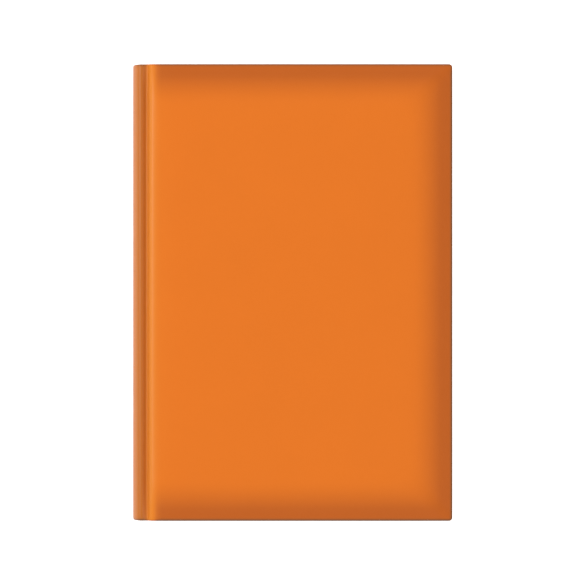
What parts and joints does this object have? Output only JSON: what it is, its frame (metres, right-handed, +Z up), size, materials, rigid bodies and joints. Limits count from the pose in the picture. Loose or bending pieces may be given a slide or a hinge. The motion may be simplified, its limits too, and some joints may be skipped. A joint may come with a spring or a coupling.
{
  "type": "undated planner",
  "caption": "Plain orange padded hardcover planner, rounded spine with soft grooves; both covers open.",
  "frame": {"origin": "under the middle of the closed book, on the plane it rests on", "axes": "+Z up out of the front cover, +Y towards the head, +X towards the fore-edge, so the spine is at -X"},
  "size_m": [0.1498, 0.2144, 0.0304],
  "materials": {
    "leatherette": "fine-grained orange PU leatherette with a soft sheen",
    "foam": "soft sponge under the leatherette",
    "greyboard": "pressed greyboard",
    "card": "flexible card",
    "leaves": "stacked uncoated paper with trimmed edges",
    "endpaper": "matt uncoated paper",
    "lining": "mull and paper",
    "headband": "woven band"
  },
  "bodies": {
    "block": {"page_block": "leaves", "front_flyleaf": "endpaper", "back_flyleaf": "endpaper", "spine_lining": "lining", "head_band": "headband", "tail_band": "headband", "spine_board": "card", "spine_wrap": "leatherette", "front_joint": "leatherette", "back_joint": "leatherette"},
    "front_cover": {"front_board": "greyboard", "front_padding": "foam", "front_wrap": "leatherette", "front_pastedown": "endpaper"},
    "back_cover": {"back_board": "greyboard", "back_padding": "foam", "back_wrap": "leatherette", "back_pastedown": "endpaper"}
  },
  "joints": [
    {"name": "front_cover_hinge", "type": "hinge", "parent": "block", "child": "front_cover", "pos_m": [-0.0713, 0, 0.0232], "axis": [0, -1, 0], "range_deg": [0, 178], "deforming": ["front_joint"]},
    {"name": "back_cover_hinge", "type": "hinge", "parent": "block", "child": "back_cover", "pos_m": [-0.0713, 0, 0.0072], "axis": [0, 1, 0], "range_deg": [0, 178], "deforming": ["back_joint"]}
  ]
}
